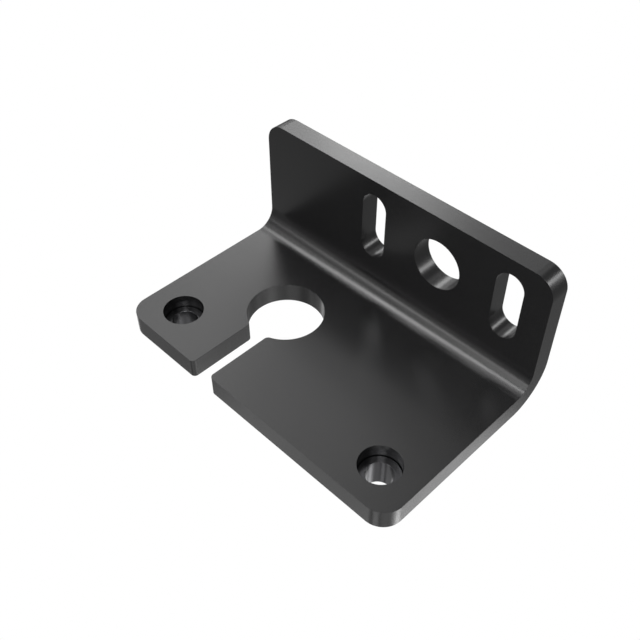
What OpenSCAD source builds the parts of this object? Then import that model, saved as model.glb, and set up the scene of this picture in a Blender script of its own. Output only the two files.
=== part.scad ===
// Wiring harness bracket. One thick plate is folded once into a base and an
// upright. The base has a keyhole, open at the front edge, that the harness is
// slipped into. The upright has two upright slots with a round hole midway
// between them. Two clinch nuts are pressed into the base from below.
//
// The origin is the centre of the upright's round hole, on the upright's back
// face. X runs along the fold, Y from the base's front edge to the back face,
// and Z up the upright.

/* [Folded plate] */
// Width of the plate, along the fold
plate_w = 90; // [84:1:140]
// Depth of the base, from its front edge to the upright's back face
base_depth = 57; // [52:0.5:90]
// Height of the upright, from the base's underside to its top edge
upright_h = 39.1; // [37:0.1:60]
// Thickness of the plate
plate_t = 5.55; // [3:0.05:7]
// Inside radius of the fold
fold_r = 5.5; // [2:0.1:9]
// Radius of the base's two front corners
base_corner_r = 5.5; // [1:0.1:9]
// Radius of the upright's two top corners
upright_corner_r = 5.5; // [1:0.1:8]

/* [Harness keyhole] */
// Diameter of the round hole that the harness sits in
harness_d = 20.2; // [12:0.1:22]
// Distance of the keyhole from the middle of the plate, to the left
harness_offset = 15.2; // [5:0.1:20]
// Distance of the round hole's centre from the base's front edge
harness_setback = 28.5; // [20:0.1:34]
// Width of the neck that leads into the round hole from the front edge
neck_w = 6.45; // [3:0.05:12]
// Radius of the neck's two corners at the front edge
neck_mouth_r = 1.2; // [0.2:0.1:3]
// Radius of the two corners where the neck meets the round hole
neck_root_r = 1.4; // [0.2:0.1:3]

/* [Upright fixing holes] */
// Distance of the round hole from the middle of the plate, to the right
fixing_offset = 13.75; // [5:0.05:18]
// Height of the round hole and the slots above the base's underside
fixing_h = 25.35; // [22:0.05:28]
// Diameter of the round hole
fixing_hole_d = 13.8; // [4:0.1:20]
// Distance between the centre lines of the two slots
slot_spacing = 40.9; // [30:0.1:46]
// Width of each slot
slot_w = 7.6; // [4:0.05:10]
// Length of each slot from end to end
slot_l = 19.25; // [11:0.05:22]

/* [Clinch nuts] */
// Distance of each nut from the side edge of the base
nut_side_inset = 10.55; // [8:0.05:16]
// Distance of each nut from the base's front edge
nut_front_inset = 10.1; // [8:0.05:16]
// Diameter of the hole that each nut is pressed into
nut_hole_d = 10.5; // [9:0.05:11.5]
// Diameter of the thread's bore
nut_bore_d = 6.65; // [4:0.05:8]
// Diameter of the nut's body, under the base
nut_body_d = 12.65; // [12:0.05:16]
// Height of the nut's body, under the base
nut_body_h = 5.85; // [3:0.05:9]
// Length of the nut's shank, up into the base
nut_shank_l = 1.8; // [1.4:0.05:2.6]

/* [Nut details] */
// How far the ring under the base stands out past the shank
ring_step = 0.4; // [0.2:0.05:0.5]
// Height of that ring, all of it pressed into the base
ring_h = 0.35; // [0.2:0.05:0.6]
// Depth of the undercut that the base's metal flows into
undercut_depth = 0.3; // [0.1:0.05:0.5]
// Height of the undercut
undercut_h = 0.5; // [0.3:0.05:0.6]
// Chamfer round the top of the shank
shank_chamfer = 0.2; // [0.1:0.05:0.3]
// Chamfer round the foot of the body
body_chamfer = 0.5; // [0.2:0.05:1]
// Chamfer at each end of the thread's bore
bore_chamfer = 0.15; // [0.1:0.05:0.5]

/* [Hidden] */
$fn = 96;

// How far a cutter runs past the face that it cuts
cut_past = 1;
// Clearance round the shank in its hole
shank_gap = 0.015;
// How far the arcs at the neck's root reach into the round hole
root_crossing = 0.005;

coat_black = "#2b2b2d";
plated_steel = "#6f7073";

fold_outer_r = fold_r + plate_t;
harness_r = harness_d / 2;
nut_x = plate_w / 2 - nut_side_inset;
shank_r = nut_hole_d / 2 - shank_gap;
ring_r = shank_r + ring_step;
undercut_r = shank_r - undercut_depth;
bore_r = nut_bore_d / 2;
body_r = nut_body_d / 2;

// Moves what is drawn from the middle of the base's front lower edge into
// the frame of the upright's round hole
module from_front_edge() {
    translate([-fixing_offset, -base_depth, -fixing_h])
        children();
}

// Section of the folded plate: Y to the right, Z up
module fold_section() {
    square([base_depth - fold_outer_r, plate_t]);
    translate([base_depth - plate_t, fold_outer_r])
        square([plate_t, upright_h - fold_outer_r]);
    intersection() {
        translate([base_depth - fold_outer_r, 0])
            square(fold_outer_r);
        translate([base_depth - fold_outer_r, fold_outer_r])
            difference() {
                circle(r = fold_outer_r);
                circle(r = fold_r);
            }
    }
}

// What is cut from a square corner at the origin, with the metal on its
// positive side, to leave a corner of radius r
module corner_waste(r) {
    difference() {
        translate([-cut_past, -cut_past])
            square(r + cut_past);
        translate([r, r])
            circle(r = r);
    }
}

// Draws its children and their mirror image across the YZ plane
module both_sides() {
    children();
    mirror([1, 0, 0])
        children();
}

// What is cut to round the neck's two corners on its right side, with the
// round hole's centre at the origin
module neck_corners() {
    translate([neck_w / 2, -harness_setback])
        corner_waste(neck_mouth_r);

    // The root's arc touches the neck's wall and just crosses the round hole's
    root_x = neck_w / 2 + neck_root_r;
    reach = harness_r + neck_root_r - root_crossing;
    root_y = -sqrt(reach * reach - root_x * root_x);
    difference() {
        polygon([[0, root_y], [root_x, root_y], [0, 0]]);
        translate([root_x, root_y])
            circle(r = neck_root_r);
    }
}

// Outline of the keyhole, with the round hole's centre at the origin
module keyhole_outline() {
    circle(r = harness_r);
    translate([-neck_w / 2, -harness_setback - cut_past])
        square([neck_w, harness_setback + cut_past]);
    both_sides()
        neck_corners();
}

// Outline of an upright slot, centred on the origin
module slot_outline() {
    end_y = (slot_l - slot_w) / 2;
    square([slot_w, 2 * end_y], center = true);
    for (side = [-1, 1])
        translate([0, side * end_y])
            circle(r = slot_w / 2);
}

// Outline of the upright's round hole and slots, with X and Z as in the plate
module fixing_outline() {
    translate([fixing_offset, fixing_h]) {
        circle(r = fixing_hole_d / 2);
        for (side = [-1, 1])
            translate([side * slot_spacing / 2, 0])
                slot_outline();
    }
}

// Half section of the hole that a nut is pressed into. Zero height is the
// base's underside. The metal round the ring and undercut has flowed in.
module nut_seat_section() {
    polygon([
        [0, -cut_past],
        [ring_r + shank_gap, -cut_past],
        [ring_r + shank_gap, ring_h],
        [undercut_r + shank_gap, ring_h],
        [shank_r + shank_gap, ring_h + undercut_h],
        [shank_r + shank_gap, plate_t + cut_past],
        [0, plate_t + cut_past]
    ]);
}

// Half section of a clinch nut, on the same zero height
module nut_section() {
    polygon([
        [bore_r + bore_chamfer, -nut_body_h],
        [body_r - body_chamfer, -nut_body_h],
        [body_r, body_chamfer - nut_body_h],
        [body_r, 0],
        [ring_r, 0],
        [ring_r, ring_h],
        [undercut_r, ring_h],
        [shank_r, ring_h + undercut_h],
        [shank_r, nut_shank_l - shank_chamfer],
        [shank_r - shank_chamfer, nut_shank_l],
        [bore_r + bore_chamfer, nut_shank_l],
        [bore_r, nut_shank_l - bore_chamfer],
        [bore_r, bore_chamfer - nut_body_h]
    ]);
}

// Places its children at one of the nuts: side is -1 on the left, 1 on the right
module at_nut(side) {
    translate([side * nut_x, nut_front_inset, 0])
        children();
}

module folded_plate() {
    color(coat_black)
        from_front_edge()
            difference() {
                translate([-plate_w / 2, 0, 0])
                    rotate([90, 0, 90])
                        linear_extrude(height = plate_w)
                            fold_section();

                // The base's front corners
                both_sides()
                    translate([-plate_w / 2, 0, -cut_past])
                        linear_extrude(height = plate_t + 2 * cut_past)
                            corner_waste(base_corner_r);

                // The upright's top corners
                both_sides()
                    translate([-plate_w / 2, base_depth + cut_past, upright_h])
                        rotate([90, 0, 0])
                            linear_extrude(height = plate_t + 2 * cut_past)
                                mirror([0, 1])
                                    corner_waste(upright_corner_r);

                // The keyhole in the base
                translate([-harness_offset, harness_setback, -cut_past])
                    linear_extrude(height = plate_t + 2 * cut_past)
                        keyhole_outline();

                // The round hole and slots in the upright
                translate([0, base_depth + cut_past, 0])
                    rotate([90, 0, 0])
                        linear_extrude(height = plate_t + 2 * cut_past)
                            fixing_outline();

                // The seats of the two nuts
                for (side = [-1, 1])
                    at_nut(side)
                        rotate_extrude()
                            nut_seat_section();
            }
}

module clinch_nut(side) {
    color(plated_steel)
        from_front_edge()
            at_nut(side)
                rotate_extrude()
                    nut_section();
}

folded_plate();
clinch_nut(-1);  // clinch_nut_left
clinch_nut(1);  // clinch_nut_right
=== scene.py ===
import math

import bpy
import numpy as np
from mathutils import Matrix, Vector
from mathutils.geometry import tessellate_polygon


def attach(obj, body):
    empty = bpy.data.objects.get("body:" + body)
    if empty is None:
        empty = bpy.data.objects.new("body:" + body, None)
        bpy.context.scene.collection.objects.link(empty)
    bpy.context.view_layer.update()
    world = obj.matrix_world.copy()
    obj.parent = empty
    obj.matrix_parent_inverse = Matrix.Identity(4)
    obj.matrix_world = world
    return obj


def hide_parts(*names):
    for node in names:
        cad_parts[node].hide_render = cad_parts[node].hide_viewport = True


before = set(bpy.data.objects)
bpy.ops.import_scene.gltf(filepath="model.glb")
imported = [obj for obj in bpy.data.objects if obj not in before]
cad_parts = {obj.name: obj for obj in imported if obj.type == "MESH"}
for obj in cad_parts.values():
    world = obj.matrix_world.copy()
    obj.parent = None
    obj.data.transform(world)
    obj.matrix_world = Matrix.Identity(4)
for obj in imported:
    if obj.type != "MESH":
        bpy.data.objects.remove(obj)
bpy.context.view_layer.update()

print("frame loaded:", ", ".join(sorted(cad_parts)))

mm = 0.001  # every size below is in millimetres
touching = 1e-6  # two points nearer than this are one

# Sizes are from the middle of the base's front lower edge: x to the right,
# y towards the upright and z up. The frame's origin is the centre of the
# upright's round hole, on the upright's back.
plate = {
    "width": 90.0,
    "depth": 57.0,  # front edge to the upright's back
    "height": 39.1,  # underside to the upright's top edge
    "thickness": 5.55,
    "foldRadius": 5.5,  # inside
    "baseCorner": 5.5,
    "uprightCorner": 5.5,
    "edgeBreak": 0.04,  # how far the cut edges are eased
    "holeX": 13.75,  # the upright's round hole, midway between its slots
    "holeHeight": 25.35,
    "holeRadius": 6.9,
    "slotSpacing": 40.9,
    "slotWidth": 7.6,
    "slotLength": 19.25,
    "cornerSteps": 24,  # the number of straight steps in each arc
    "holeSteps": 96,
    "slotEndSteps": 40,
    "foldSteps": 40,
    "breakSteps": 4,
}
keyhole = {
    "x": -15.2,
    "y": 28.5,
    "radius": 10.1,
    "neckWidth": 6.45,
    "mouthRadius": 1.2,  # where the neck meets the front edge
    "rootRadius": 1.4,  # where the neck meets the round hole
    "steps": 96,
    "neckSteps": 12,
}
nut = {
    "x": 34.45,  # either side of the middle
    "y": 10.1,
    "holeRadius": 5.25,  # of the plate's hole above it
    "bodyRadius": 6.325,
    "bodyHeight": 5.85,  # below the base
    "shankRadius": 5.235,
    "shankLength": 1.8,  # up into the base
    "ringStep": 0.4,
    "ringHeight": 0.35,
    "undercut": 0.3,
    "undercutHeight": 0.5,
    "boreRadius": 3.325,
    "bodyChamfer": 0.5,
    "shankChamfer": 0.2,
    "boreChamfer": 0.05,
    "edgeBreak": 0.03,  # how far its corners are rounded
    "turnSteps": 128,
    "edgeSteps": 3,
}

frameOrigin = np.array([plate["holeX"], plate["depth"], plate["holeHeight"]])
outerRadius = plate["foldRadius"] + plate["thickness"]
foldAngle = math.radians(90)
foldStart = plate["depth"] - outerRadius  # how far the flat of the base runs
foldLength = foldAngle * (outerRadius + plate["foldRadius"]) / 2  # at mid thickness
foldEnd = foldStart + foldLength
blankLength = foldEnd + plate["height"] - outerRadius


def arc(centre, radius, start, end, steps, hole=False):
    # The centre plus the radius times (cos, sin) of an angle in even steps.
    # The normal leaves the metal: outwards at a corner, inwards in a hole.
    angle = np.radians(np.linspace(start, end, steps + 1))
    ray = np.stack([np.cos(angle), np.sin(angle)], axis=1)
    return centre + radius * ray, ray * (-1 if hole else 1)


def joined(*parts):
    # Arcs that share their tangents, one after another; the straight edges
    # lie between the last point of one and the first of the next. A point
    # that two arcs share is kept once.
    points, normals = map(np.concatenate, zip(*parts))
    fresh = np.linalg.norm(points - np.roll(points, 1, axis=0), axis=1) > touching
    return points[fresh], normals[fresh]


def circle(centre, radius):
    # A whole turn, less the last point, which is also the first.
    points, normals = arc(centre, radius, 360, 0, plate["holeSteps"], hole=True)
    return points[:-1], normals[:-1]


def slotOutline(centre, width, length):
    # Two half circles with straight sides between them.
    end = np.array([0, (length - width) / 2])
    steps = plate["slotEndSteps"]
    return joined(
        arc(centre + end, width / 2, 180, 0, steps, hole=True),
        arc(centre - end, width / 2, 0, -180, steps, hole=True),
    )


def blankOutline():
    # The flat blank's edge with the metal on its left, the keyhole included.
    # Its second coordinate is the distance along the sheet from the front.
    halfWidth = plate["width"] / 2
    base = plate["baseCorner"]
    top = plate["uprightCorner"]
    corner = plate["cornerSteps"]
    x, y, radius = keyhole["x"], keyhole["y"], keyhole["radius"]
    neck = keyhole["neckWidth"] / 2
    mouth = keyhole["mouthRadius"]
    root = keyhole["rootRadius"]
    steps = keyhole["neckSteps"]
    rootDrop = math.sqrt((radius + root) ** 2 - (neck + root) ** 2)
    rootAngle = math.degrees(math.atan2(rootDrop, neck + root))
    stations = np.linspace(foldStart, foldEnd, plate["foldSteps"] + 1)
    foldSide = np.stack([np.full_like(stations, halfWidth), stations], axis=1)
    across = np.tile([1.0, 0.0], (len(stations), 1))
    return joined(
        arc((x + neck + mouth, mouth), mouth, 180, 270, steps),
        arc((halfWidth - base, base), base, 270, 360, corner),
        (foldSide, across),
        arc((halfWidth - top, blankLength - top), top, 0, 90, corner),
        arc((top - halfWidth, blankLength - top), top, 90, 180, corner),
        (foldSide[::-1] * [-1, 1], -across),
        arc((base - halfWidth, base), base, 180, 270, corner),
        arc((x - neck - mouth, mouth), mouth, 270, 360, steps),
        arc((x - neck - root, y - rootDrop), root, 0, rootAngle, steps),
        arc((x, y), radius, 180 + rootAngle, -rootAngle, keyhole["steps"], hole=True),
        arc((x + neck + root, y - rootDrop), root, 180 - rootAngle, 180, steps),
    )


def easedEdge():
    # A quarter round of the edge break's radius, in even steps of the lean of
    # its normal: (1 - cos) times the radius inwards, sin times it upwards.
    ease = plate["edgeBreak"]
    lean = np.radians(np.linspace(0, 90, plate["breakSteps"] + 1))
    return np.stack([ease * (1 - np.cos(lean)), ease * np.sin(lean), lean], axis=1)


def upperEdge():
    # The quarter round at the top of the sheet's thickness.
    edge = easedEdge()
    edge[:, 1] += plate["thickness"] - plate["edgeBreak"]
    return edge


def cutEdge():
    # Across the sheet's thickness: an eased edge, the wall, an eased edge, as
    # rows of inset, rise and lean.
    lower = easedEdge()[::-1] * [1, -1, -1]
    lower[:, 1] += plate["edgeBreak"]
    return np.concatenate([lower, upperEdge()])


def seatEdge():
    # As cutEdge, but the lower part follows the nut's ring and undercut.
    ring = nut["ringHeight"]
    seat = [
        [nut["ringStep"], 0, 0],
        [nut["ringStep"], ring, 0],
        [-nut["undercut"], ring, 0],
        [0, ring + nut["undercutHeight"], 0],
    ]
    return np.concatenate([seat, upperEdge()])


def foldTurn(along):
    # None before the fold, the whole of its angle after it, even in between.
    return np.clip((along - foldStart) / foldLength, 0, 1) * foldAngle


def folded(flat):
    # Turns (x, distance along the sheet, height in the sheet) into x, y, z.
    # In the fold the distance is an angle round the fold's centre line, and
    # the radius there is the outer radius less the height in the sheet.
    x, along, height = np.moveaxis(flat, -1, 0)
    turn = foldTurn(along)
    before = np.minimum(along - foldStart, 0)
    after = np.maximum(along - foldEnd, 0)
    y = foldStart + before + (outerRadius - height) * np.sin(turn)
    z = outerRadius + after - (outerRadius - height) * np.cos(turn)
    return np.stack([x, y, z], axis=-1)


def foldedNormal(normal, along):
    # The same turn about the fold's centre line, for a direction.
    turn = foldTurn(along)
    x, ahead, up = np.moveaxis(normal, -1, 0)
    y = ahead * np.cos(turn) - up * np.sin(turn)
    z = ahead * np.sin(turn) + up * np.cos(turn)
    return np.stack([x, y, z], axis=-1)


def raised(spread, height):
    # A grid of points in the plane, each given its column's height. It serves
    # for directions too.
    height = np.broadcast_to(height, spread.shape[:2])
    return np.concatenate([spread, height[..., None]], axis=2)


def carried(path, profile):
    # The profile at every point of a closed path: each point moves against
    # the path's normal by the inset and is raised by the rise. Its normal is
    # the path's times the lean's cosine, raised by the lean's sine.
    points, normals = path
    inset, rise, lean = profile.T
    spread = points[:, None] - inset[None, :, None] * normals[:, None]
    outwards = normals[:, None] * np.cos(lean)[None, :, None]
    return raised(spread, rise), raised(outwards, np.sin(lean))


def gridQuads(rows, columns, wrapColumns=False):
    # Four corners of every cell; the rows close on themselves.
    row = np.arange(rows)[:, None]
    column = np.arange(columns if wrapColumns else columns - 1)[None, :]
    nextRow = (row + 1) % rows
    nextColumn = (column + 1) % columns
    corners = [
        row * columns + column,
        nextRow * columns + column,
        nextRow * columns + nextColumn,
        row * columns + nextColumn,
    ]
    return np.stack(corners, axis=-1).reshape(-1, 4)


def filled(loops, flat, upwards):
    # Triangles of one flat face between loops of vertex numbers, turned so
    # that each faces upwards or downwards.
    level = flat * [1, 1, 0]
    outline = [level[loop].tolist() for loop in loops]
    numbers = np.concatenate(loops)
    triangles = numbers[np.array(tessellate_polygon(outline))]
    a, b, c = np.moveaxis(flat[triangles][..., :2], 1, 0)
    turning = np.cross(b - a, c - a)
    wrong = (turning > 0) != upwards
    triangles[wrong] = triangles[wrong][:, ::-1]
    return triangles


sharpCosine = 0.9  # an edge that turns further than about 26 degrees is sharp


def cornerNormals(points, normals, faces):
    # A point's own normal at each corner of its faces, or the face's normal
    # where the two part by more than that, at a sharp edge.
    corner = points[faces]
    across = np.cross(corner[:, 2] - corner[:, 0], corner[:, -1] - corner[:, 1])
    across /= np.linalg.norm(across, axis=1, keepdims=True)
    smooth = normals[faces]
    agrees = (smooth * across[:, None]).sum(axis=2, keepdims=True) > sharpCosine
    return np.where(agrees, smooth, across[:, None]).reshape(-1, 3)


def meshFrom(name, points, normals, quads, triangles, materialName):
    # Makes the object, shaded with the normals of its corners.
    mesh = bpy.data.meshes.new(name)
    faces = quads.tolist() + triangles.tolist()
    corners = [cornerNormals(points, normals, kind) for kind in (quads, triangles)]
    mesh.from_pydata(points.tolist(), [], faces)
    mesh.polygons.foreach_set("use_smooth", np.ones(len(faces), bool))
    mesh.update()
    mesh.normals_split_custom_set(np.concatenate(corners).tolist())
    mesh.materials.append(bpy.data.materials[materialName])
    piece = bpy.data.objects.new(name, mesh)
    bpy.context.scene.collection.objects.link(piece)
    return piece


def makePlate():
    # The walls are profiles carried along the blank's outline and its holes.
    # The flat faces are filled between them and the fold's are strips across.
    outline = blankOutline()
    fixingAlong = foldEnd + plate["holeHeight"] - outerRadius
    fixing = np.array([plate["holeX"], fixingAlong])
    sideStep = np.array([plate["slotSpacing"] / 2, 0])
    slotSize = plate["slotWidth"], plate["slotLength"]
    baseHoles = [circle((side * nut["x"], nut["y"]), nut["holeRadius"]) for side in (-1, 1)]
    uprightHoles = [
        circle(fixing, plate["holeRadius"]),
        slotOutline(fixing - sideStep, *slotSize),
        slotOutline(fixing + sideStep, *slotSize),
    ]
    cut, seat = cutEdge(), seatEdge()
    walls = [(outline, cut)]
    walls += [(path, seat) for path in baseHoles]
    firstUpright = len(walls)
    walls += [(path, cut) for path in uprightHoles]

    flats, normals, quads, lower, upper = [], [], [], [], []
    count = 0
    for path, profile in walls:
        flat, normal = carried(path, profile)
        rows, columns = flat.shape[:2]
        flats.append(flat.reshape(-1, 3))
        normals.append(normal.reshape(-1, 3))
        quads.append(gridQuads(rows, columns) + count)
        lower.append(np.arange(rows) * columns + count)
        upper.append(lower[-1] + columns - 1)
        count += rows * columns
    flat, normal = np.concatenate(flats), np.concatenate(normals)
    quads = np.concatenate(quads)

    along = outline[0][:, 1]
    inBase = along <= foldStart + touching
    inUpright = along >= foldEnd - touching
    inFold = np.flatnonzero((along >= foldStart - touching) & (along <= foldEnd + touching))
    half = len(inFold) // 2
    right, left = inFold[:half], inFold[half:][::-1]
    triangles = []
    for rings, upwards in ((lower, False), (upper, True)):
        edge = rings[0]
        base = filled([edge[inBase], *rings[1:firstUpright]], flat, upwards)
        upright = filled([edge[inUpright], *rings[firstUpright:]], flat, upwards)
        triangles += [base, upright]
        strip = [edge[left[:-1]], edge[right[:-1]], edge[right[1:]], edge[left[1:]]]
        strip = np.stack(strip if upwards else strip[::-1], axis=1)
        quads = np.concatenate([quads, strip])
    triangles = np.concatenate(triangles)

    points = (folded(flat) - frameOrigin) * mm
    normal = foldedNormal(normal, flat[:, 1])
    return meshFrom("bracket_plate", points, normal, quads, triangles, "blackCoat")


def easedCorners(corners, ease, steps):
    # Each corner becomes an arc that touches both of its sides. The centre is
    # on the corner's bisector, at the radius over the sine of half its
    # opening. The ray swings evenly from the first touching point to the last,
    # as a mix of those two by the sines of their shares of the sweep.
    corners = np.asarray(corners, float)
    back = np.roll(corners, 1, axis=0) - corners
    ahead = np.roll(corners, -1, axis=0) - corners
    back /= np.linalg.norm(back, axis=1, keepdims=True)
    ahead /= np.linalg.norm(ahead, axis=1, keepdims=True)
    opening = np.arccos(np.clip((back * ahead).sum(axis=1), -1, 1))
    reach = ease / np.tan(opening / 2)
    middle = back + ahead
    middle /= np.linalg.norm(middle, axis=1, keepdims=True)
    centre = corners + middle * (ease / np.sin(opening / 2))[:, None]
    first = corners + back * reach[:, None] - centre
    last = corners + ahead * reach[:, None] - centre
    share = np.linspace(0, 1, steps + 1)[None, :]
    sweep = (math.pi - opening)[:, None]
    firstShare = np.sin((1 - share) * sweep) / np.sin(sweep)
    lastShare = np.sin(share * sweep) / np.sin(sweep)
    ray = firstShare[..., None] * first[:, None] + lastShare[..., None] * last[:, None]
    points = centre[:, None] + ray
    # The metal lies on the left of the way round, so a left turn is an edge
    # that stands out and a right turn is an inner corner.
    turn = -back[:, 0] * ahead[:, 1] + back[:, 1] * ahead[:, 0]
    normals = ray / ease * np.sign(turn)[:, None, None]
    return points.reshape(-1, 2), normals.reshape(-1, 2)


def nutSection():
    # Half section of the nut, (radius, height), with the metal on the left.
    body, shank, bore = nut["bodyRadius"], nut["shankRadius"], nut["boreRadius"]
    ring, neck = shank + nut["ringStep"], shank - nut["undercut"]
    foot, top = -nut["bodyHeight"], nut["shankLength"]
    ringTop = nut["ringHeight"]
    neckTop = ringTop + nut["undercutHeight"]
    bodyChamfer, shankChamfer = nut["bodyChamfer"], nut["shankChamfer"]
    chamfer = nut["boreChamfer"]
    return [
        (bore + chamfer, foot),
        (body - bodyChamfer, foot),
        (body, foot + bodyChamfer),
        (body, 0),
        (ring, 0),
        (ring, ringTop),
        (neck, ringTop),
        (shank, neckTop),
        (shank, top - shankChamfer),
        (shank - shankChamfer, top),
        (bore + chamfer, top),
        (bore, top - chamfer),
        (bore, foot + chamfer),
    ]


def makeNut(name, side):
    # The section turned about the nut's axis: radius times (cos, sin).
    section, sectionNormals = easedCorners(nutSection(), nut["edgeBreak"], nut["edgeSteps"])
    steps = nut["turnSteps"]
    turn = np.arange(steps) * 2 * math.pi / steps
    ray = np.stack([np.cos(turn), np.sin(turn)], axis=1)
    points = raised(ray[:, None] * section[None, :, :1], section[:, 1])
    points += [side * nut["x"], nut["y"], 0]
    points = (points.reshape(-1, 3) - frameOrigin) * mm
    normals = raised(ray[:, None] * sectionNormals[None, :, :1], sectionNormals[:, 1])
    quads = gridQuads(steps, len(section), wrapColumns=True)
    noTriangles = np.zeros((0, 3), int)
    return meshFrom(name, points, normals.reshape(-1, 3), quads, noTriangles, "platedSteel")


def linear(hexColour):
    # sRGB to linear: the low part is a straight line and the rest a power.
    value = np.array([int(hexColour[i : i + 2], 16) for i in (1, 3, 5)]) / 255
    low = value / 12.92
    high = ((value + 0.055) / 1.055) ** 2.4
    return (*np.where(value <= 0.04045, low, high), 1.0)


def addNode(tree, kind, inputs, **settings):
    # Adds a node with its settings. An input, by its name or number, is given
    # a value or another node's output.
    node = tree.nodes.new(kind)
    for key, value in settings.items():
        setattr(node, key, value)
    for key, value in inputs.items():
        if isinstance(value, bpy.types.NodeSocket):
            tree.links.new(value, node.inputs[key])
        else:
            node.inputs[key].default_value = value
    return node


blackCoat = {
    "darker": "#0a0a0b",
    "lighter": "#101011",
    "roughness": (0.255, 0.272),
    "ior": 1.75,  # over the 1.5 of a plain coat, for its stronger reflections
    "patch": 9.0,  # width of the patches of colour and gloss
    "wave": 1.6,  # width of the waves that the melted powder sets in
    "waveDepth": 0.0025,  # rise where the noise goes from 0 to 1
    "grain": 0.35,  # width of the powder's grain, as coarse as it needs to show
    "grainDepth": 0.0002,
}
platedSteel = {
    "darker": "#545456",
    "lighter": "#606062",
    "roughness": (0.24, 0.27),
    "patch": 2.5,
    "ring": 0.3,  # width of the rings that the turning tool leaves
    "ringDepth": 0.0004,
}
noiseReach = (0.35, 0.65)  # nearly all of a noise's values lie between these


def startMaterial(name, finish):
    # A material whose colour and gloss drift from patch to patch; the rest is
    # added to the tree that this returns. A noise's scale is one over the
    # width of its patches in metres. A mix of two colours takes them at its
    # inputs 6 and 7, and gives the result at its output 2.
    material = bpy.data.materials.new(name)
    material.use_nodes = True
    tree = material.node_tree
    shader = tree.nodes["Principled BSDF"]
    place = addNode(tree, "ShaderNodeTexCoord", {}).outputs["Object"]
    pattern = {"Vector": place, "Scale": 1 / (finish["patch"] * mm)}
    patches = addNode(tree, "ShaderNodeTexNoise", pattern).outputs["Fac"]
    colours = {0: patches, 6: linear(finish["darker"]), 7: linear(finish["lighter"])}
    tint = addNode(tree, "ShaderNodeMix", colours, data_type="RGBA")
    least, most = noiseReach
    glossiest, dullest = finish["roughness"]
    span = {"From Min": least, "From Max": most, "To Min": glossiest, "To Max": dullest}
    gloss = addNode(tree, "ShaderNodeMapRange", {"Value": patches, **span})
    tree.links.new(tint.outputs[2], shader.inputs["Base Color"])
    tree.links.new(gloss.outputs["Result"], shader.inputs["Roughness"])
    return tree, shader, place


def makeBlackCoat():
    # Satin black powder coat, baked on steel plate: nearly black, with soft
    # broad reflections. The melted powder sets in faint waves, which make the
    # edges of the reflections a little uneven, with a fine grain over them.
    finish = blackCoat
    tree, shader, place = startMaterial("blackCoat", finish)
    pattern = {"Vector": place, "Scale": 1 / (finish["wave"] * mm)}
    wave = addNode(tree, "ShaderNodeTexNoise", pattern)
    relief = {"Height": wave.outputs["Fac"], "Distance": finish["waveDepth"] * mm}
    waved = addNode(tree, "ShaderNodeBump", relief)
    pattern = {"Vector": place, "Scale": 1 / (finish["grain"] * mm)}
    grain = addNode(tree, "ShaderNodeTexNoise", pattern)
    relief = {"Height": grain.outputs["Fac"], "Distance": finish["grainDepth"] * mm}
    relief["Normal"] = waved.outputs["Normal"]
    grained = addNode(tree, "ShaderNodeBump", relief)
    tree.links.new(grained.outputs["Normal"], shader.inputs["Normal"])
    shader.inputs["IOR"].default_value = finish["ior"]


def makePlatedSteel():
    # Turned steel with a dark plating: a dark metal with a soft sheen and the
    # turning tool's rings round the nut's axis. Real ones are about 0.1 mm
    # apart, too fine to show, so they are drawn wider. The two nuts lie
    # mirrored about the plate's middle, so one pattern fits both: it depends
    # on the distance from the nearer nut's axis and on the height.
    finish = platedSteel
    tree, shader, place = startMaterial("platedSteel", finish)
    split = addNode(tree, "ShaderNodeSeparateXYZ", {"Vector": place})
    numbers = {0: split.outputs["X"], 1: plate["holeX"] * mm}
    across = addNode(tree, "ShaderNodeMath", numbers, operation="ADD")
    fromMiddle = addNode(tree, "ShaderNodeMath", {0: across.outputs[0]}, operation="ABSOLUTE")
    numbers = {0: fromMiddle.outputs[0], 1: nut["x"] * mm}
    besideAxis = addNode(tree, "ShaderNodeMath", numbers, operation="SUBTRACT")
    numbers = {0: split.outputs["Y"], 1: (plate["depth"] - nut["y"]) * mm}
    beforeAxis = addNode(tree, "ShaderNodeMath", numbers, operation="ADD")
    spot = {"X": besideAxis.outputs[0], "Y": beforeAxis.outputs[0]}
    flat = addNode(tree, "ShaderNodeCombineXYZ", spot)
    radius = addNode(tree, "ShaderNodeVectorMath", {0: flat.outputs[0]}, operation="LENGTH")
    turned = {"X": radius.outputs["Value"], "Z": split.outputs["Z"]}
    section = addNode(tree, "ShaderNodeCombineXYZ", turned)
    pattern = {"Vector": section.outputs[0], "Scale": 1 / (finish["ring"] * mm)}
    rings = addNode(tree, "ShaderNodeTexNoise", pattern)
    relief = {"Height": rings.outputs["Fac"], "Distance": finish["ringDepth"] * mm}
    ringed = addNode(tree, "ShaderNodeBump", relief)
    tree.links.new(ringed.outputs["Normal"], shader.inputs["Normal"])
    shader.inputs["Metallic"].default_value = 1.0


makeBlackCoat()
makePlatedSteel()
print("materials made")

plateObject = makePlate()
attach(plateObject, "root")
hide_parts("folded_plate")
print("plate made")

for side, word in ((-1, "left"), (1, "right")):
    nutObject = makeNut("pressed_nut_" + word, side)
    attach(nutObject, "root")
    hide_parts("clinch_nut_" + word)
print("nuts made")


def direction(azimuth, elevation):
    # (sin a cos e, -cos a cos e, sin e): azimuth 0 is in front of the base and
    # 90 is on its right.
    a, e = math.radians(azimuth), math.radians(elevation)
    return np.array([math.sin(a) * math.cos(e), -math.cos(a) * math.cos(e), math.sin(e)])


camera = {
    "place": (89.728, -134.781, 136.331),  # in the frame
    "azimuth": 44.97,  # degrees, as is the elevation
    "elevation": 45.04,
    "lens": 48.31,
    "sensor": 36.0,
    "nearest": 10.0,  # nothing nearer is drawn
}


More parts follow.
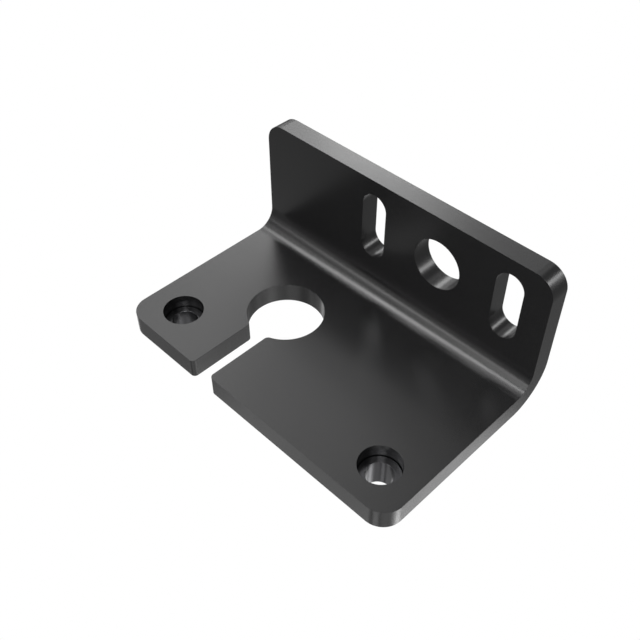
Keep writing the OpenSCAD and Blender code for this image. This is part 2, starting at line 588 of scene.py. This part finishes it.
def makeCamera():
    # Its back faces along the direction, and its right side is level.
    back = direction(camera["azimuth"], camera["elevation"])
    right = direction(camera["azimuth"] + 90, 0)
    up = np.cross(back, right)
    place = np.array(camera["place"]) * mm
    data = bpy.data.cameras.new("camera")
    data.lens = camera["lens"]
    data.sensor_width = camera["sensor"]
    data.clip_start = camera["nearest"] * mm
    eye = bpy.data.objects.new("camera", data)
    turned = np.column_stack([right, up, back, place])
    eye.matrix_world = Matrix(np.vstack([turned, [0, 0, 0, 1]]).tolist())
    bpy.context.scene.collection.objects.link(eye)
    bpy.context.scene.camera = eye


makeCamera()

studio = {
    "middle": (-14.0, -30.0, -8.0),  # what the softboxes face, in the frame
    "distance": 700.0,  # from there to each softbox
    "roomLight": 0.218,  # even light from all round
    "floorHeight": -250.0,
    "floorHalfWidth": 6000.0,
    # azimuth and elevation of each softbox in degrees, its width and height
    # in mm and its power in watts
    "softboxes": {
        # the key, behind on the left, which the base's top reflects
        "key": (230, 31, 160, 200, 0.219),
        "keyMid": (218, 31, 120, 200, 0.318),
        "keyRight": (205, 36, 160, 200, 0.069),
        "keyLeft": (249, 38, 260, 260, 0.259),
        "keyHigh": (233, 52, 260, 200, 0.108),
        "keyHighRight": (205, 57, 260, 200, 0.040),
        "keyLow": (225, 12, 400, 180, 0.188),
        # overhead, for the bright band along the fold
        "topBack": (265, 54, 160, 100, 0.272),
        "topMid": (287, 60, 160, 100, 0.302),
        "topFront": (317, 64, 200, 100, 0.440),
        "topSoft": (262, 70, 350, 200, 0.265),
        # in front, a faint fill for the fold, the upright and the right side
        "frontLeft": (320, 23, 140, 120, 0.057),
        "frontMidLeft": (331, 26, 140, 120, 0.132),
        "frontMid": (343, 29, 140, 120, 0.085),
        "frontRight": (355, 40, 300, 300, 0.345),
        "frontLeftHigh": (322, 34, 160, 100, 0.045),
        "frontFillLeft": (302, 46, 160, 180, 0.073),
        "frontFillRight": (335, 47, 200, 200, 0.128),
        "frontHigh": (0, 60, 200, 200, 0.126),
        "frontLow": (332, 8, 350, 160, 0.053),
        # round the camera, for the glints inside the nuts' holes
        "viewMid": (44, 48, 180, 180, 0.911),
        "viewLeft": (28, 50, 90, 90, 0.424),
        "viewRight": (75, 45, 200, 250, 0.352),
        # behind, for the walls of the upright's holes
        "rightBack": (135, 29, 200, 130, 0.419),
        "rightBackLow": (150, 12, 300, 200, 0.381),
        "backHigh": (184, 45, 160, 160, 0.049),
        # from below, for the front edge, the keyhole's wall and the nuts'
        # holes, and for the underside, which is seen only from other sides
        "underRight": (118, -62, 160, 160, 0.356),
        "underRightBack": (146, -58, 180, 200, 0.143),
        "underRightFront": (100, -57, 150, 150, 0.060),
        "underRightMid": (132, -43, 150, 150, 0.014),
        "underRightHigh": (112, -43, 150, 150, 0.025),
        "underRightSide": (156, -52, 100, 100, 0.012),
        "underFront": (331, -60, 160, 160, 0.046),
        "underFrontLeft": (311, -53, 140, 140, 0.030),
        "underFrontRight": (345, -58, 120, 140, 0.019),
        "underFrontHigh": (12, -42, 200, 160, 0.041),
        "underFrontEdge": (322, -46, 120, 120, 0.011),
        "underView": (55, -52, 200, 200, 0.059),
        "underViewLeft": (18, -57, 160, 160, 0.076),
        "underViewRight": (85, -45, 250, 250, 0.120),
        "underViewHigh": (34, -44, 150, 150, 0.043),
        "underViewMid": (66, -43, 200, 150, 0.015),
        "underLeft": (265, -46, 160, 200, 0.086),
        "underLeftLow": (268, -62, 200, 200, 0.157),
        "underFarLeft": (296, -42, 160, 160, 0.014),
        "underBack": (190, -60, 200, 200, 0.273),
        "underBackLeft": (228, -58, 200, 200, 0.300),
    },
}


def makeSoftbox(name, azimuth, elevation, width, height, power):
    # It faces the middle, and shows only in reflections.
    data = bpy.data.lights.new(name, "AREA")
    data.shape = "RECTANGLE"
    data.size, data.size_y = width * mm, height * mm
    data.energy = power
    lamp = bpy.data.objects.new(name, data)
    away = Vector(direction(azimuth, elevation))
    lamp.location = Vector(studio["middle"]) * mm + away * studio["distance"] * mm
    lamp.rotation_mode = "QUATERNION"
    lamp.rotation_quaternion = away.to_track_quat("Z", "Y")
    lamp.visible_camera = False
    bpy.context.scene.collection.objects.link(lamp)


def makeRoom():
    # Even light all round, and plain white where the camera looks past the
    # floor's edge.
    room = bpy.data.worlds.new("studio")
    bpy.context.scene.world = room
    room.use_nodes = True
    tree = room.node_tree
    background = tree.nodes["Background"]
    background.inputs["Color"].default_value = (1, 1, 1, 1)
    seen = addNode(tree, "ShaderNodeLightPath", {}).outputs["Is Camera Ray"]
    level = addNode(tree, "ShaderNodeMix", {"Factor": seen, "A": studio["roomLight"], "B": 1.0})
    tree.links.new(level.outputs["Result"], background.inputs["Strength"])


def makeFloor():
    # A plain white floor that glows evenly and so holds no shadow. It neither
    # lights the bracket nor stands in the way of the softboxes below it.
    material = bpy.data.materials.new("whiteFloor")
    material.use_nodes = True
    tree = material.node_tree
    glow = addNode(tree, "ShaderNodeEmission", {"Strength": 1.0})
    tree.links.new(glow.outputs[0], tree.nodes["Material Output"].inputs["Surface"])
    half = studio["floorHalfWidth"] * mm
    height = studio["floorHeight"] * mm
    corners = [(x * half, y * half, height) for x, y in ((-1, -1), (1, -1), (1, 1), (-1, 1))]
    mesh = bpy.data.meshes.new("floor")
    mesh.from_pydata(corners, [], [(0, 1, 2, 3)])
    mesh.materials.append(material)
    floor = bpy.data.objects.new("floor", mesh)
    bpy.context.scene.collection.objects.link(floor)
    floor.visible_diffuse = False
    floor.visible_glossy = False
    floor.visible_shadow = False


for boxName, values in studio["softboxes"].items():
    makeSoftbox(boxName, *values)
makeRoom()
makeFloor()
bpy.context.scene.view_settings.view_transform = "Standard"
print("camera and lights made")
